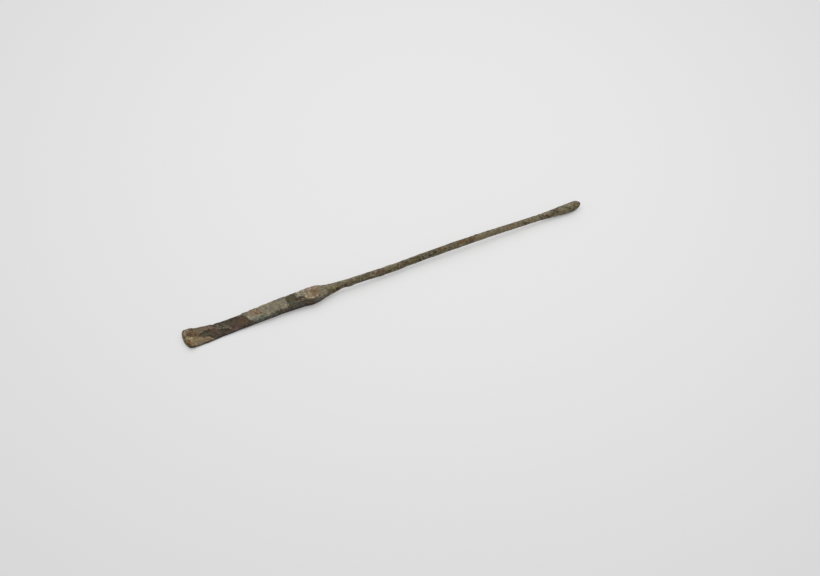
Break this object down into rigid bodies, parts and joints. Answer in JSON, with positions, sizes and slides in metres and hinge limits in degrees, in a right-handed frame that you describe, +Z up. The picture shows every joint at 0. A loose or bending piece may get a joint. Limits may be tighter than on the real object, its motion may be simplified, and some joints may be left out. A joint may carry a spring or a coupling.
{
  "type": "spatula probe",
  "caption": "Slender wrought copper-alloy instrument with a flared flat spatula blade, angular shoulder, round shaft and olive-shaped probe end, with burial crust on the blade.",
  "frame": {"origin": "under the middle of the instrument's length, on the plane that it rests on", "axes": "+X from the spatula end to the olive-shaped end, +Y across the blade, +Z up out of the blade's crusted face"},
  "size_m": [0.155, 0.0084, 0.0039],
  "materials": {
    "patinated_bronze": "wrought copper alloy under a dull olive-brown patina",
    "tan_crust": "matt earthy burial deposit",
    "grey_green_crust": "matt grey-green mineral crust",
    "pink_tan_crust": "matt pinkish-tan mineral crust"
  },
  "bodies": {
    "root": {"probe_body": "patinated_bronze", "end_crust": "tan_crust", "blade_crust": "grey_green_crust", "shoulder_crust": "pink_tan_crust"}
  },
  "joints": []
}
